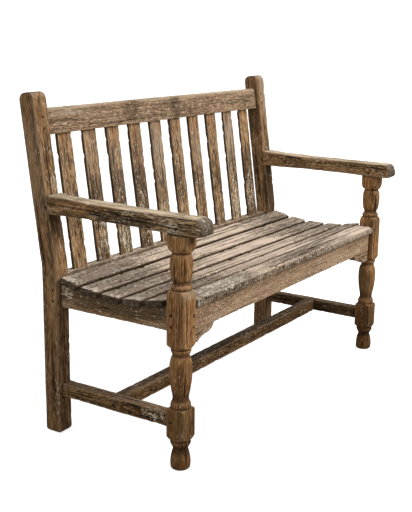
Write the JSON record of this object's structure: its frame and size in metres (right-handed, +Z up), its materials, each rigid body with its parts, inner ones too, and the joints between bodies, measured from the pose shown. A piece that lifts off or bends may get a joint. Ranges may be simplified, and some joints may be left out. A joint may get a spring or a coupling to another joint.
{
  "type": "deacons bench",
  "caption": "Wooden deacon's bench with turned front legs, raked rear posts, a slatted back, a dished slatted seat, round-nosed arms and stretchers joined in an H.",
  "frame": {"origin": "on the floor, under the middle of the bench's overall width and depth", "axes": "+X along the bench's length, to the right of a person who looks at its front; the seat faces -Y; +Z is up"},
  "size_m": [1.22, 0.5896, 0.957],
  "materials": {
    "post_wood": "weathered sawn hardwood, grey-brown, open grain, matt",
    "leg_wood": "weathered turned hardwood, honey brown, drying cracks, matt",
    "arm_wood": "deeply weathered hardwood with raised grain and lichen, matt",
    "top_rail_wood": "weathered hardwood, pinkish grey tan, fine grain, matt",
    "back_slat_wood": "weathered hardwood with dark streaks and lichen flecks, matt",
    "seat_slat_wood": "weathered hardwood, pale pinkish tan, worn edges, matt",
    "rail_wood": "weathered hardwood, tan with speckle, matt",
    "stretcher_wood": "weathered hardwood, olive brown with lichen, matt",
    "bearer_wood": "unexposed hardwood under the seat, dark brown, matt",
    "peg_wood": "end grain of hardwood pegs, dark brown, matt"
  },
  "bodies": {
    "root": {"arm_left": "arm_wood", "arm_leg_peg_left_1": "peg_wood", "arm_leg_peg_right_1": "peg_wood", "arm_post_peg_left_1": "peg_wood", "arm_post_peg_right_1": "peg_wood", "arm_right": "arm_wood", "back_slat_01": "back_slat_wood", "back_slat_02": "back_slat_wood", "back_slat_03": "back_slat_wood", "back_slat_04": "back_slat_wood", "back_slat_05": "back_slat_wood", "back_slat_06": "back_slat_wood", "back_slat_07": "back_slat_wood", "back_slat_08": "back_slat_wood", "back_slat_09": "back_slat_wood", "back_slat_10": "back_slat_wood", "bracket_left": "rail_wood", "bracket_right": "rail_wood", "front_leg_left": "leg_wood", "front_leg_right": "leg_wood", "front_rail": "rail_wood", "front_rail_peg_left_1": "peg_wood", "front_rail_peg_left_2": "peg_wood", "front_rail_peg_right_1": "peg_wood", "front_rail_peg_right_2": "peg_wood", "lower_back_rail": "rail_wood", "middle_stretcher": "stretcher_wood", "rear_post_left": "post_wood", "rear_post_right": "post_wood", "seat_bearer": "bearer_wood", "seat_slat_1": "seat_slat_wood", "seat_slat_2": "seat_slat_wood", "seat_slat_3": "seat_slat_wood", "seat_slat_4": "seat_slat_wood", "seat_slat_5": "seat_slat_wood", "seat_slat_6": "seat_slat_wood", "side_rail_left": "rail_wood", "side_rail_peg_left_1": "peg_wood", "side_rail_peg_left_2": "peg_wood", "side_rail_peg_left_3": "peg_wood", "side_rail_peg_left_4": "peg_wood", "side_rail_peg_right_1": "peg_wood", "side_rail_peg_right_2": "peg_wood", "side_rail_peg_right_3": "peg_wood", "side_rail_peg_right_4": "peg_wood", "side_rail_right": "rail_wood", "side_stretcher_left": "stretcher_wood", "side_stretcher_right": "stretcher_wood", "stretcher_dowel_left_1": "peg_wood", "stretcher_dowel_right_1": "peg_wood", "stretcher_peg_left_1": "peg_wood", "stretcher_peg_left_2": "peg_wood", "stretcher_peg_right_1": "peg_wood", "stretcher_peg_right_2": "peg_wood", "top_rail": "top_rail_wood", "top_rail_peg_left_1": "peg_wood", "top_rail_peg_left_2": "peg_wood", "top_rail_peg_right_1": "peg_wood", "top_rail_peg_right_2": "peg_wood"}
  },
  "joints": []
}
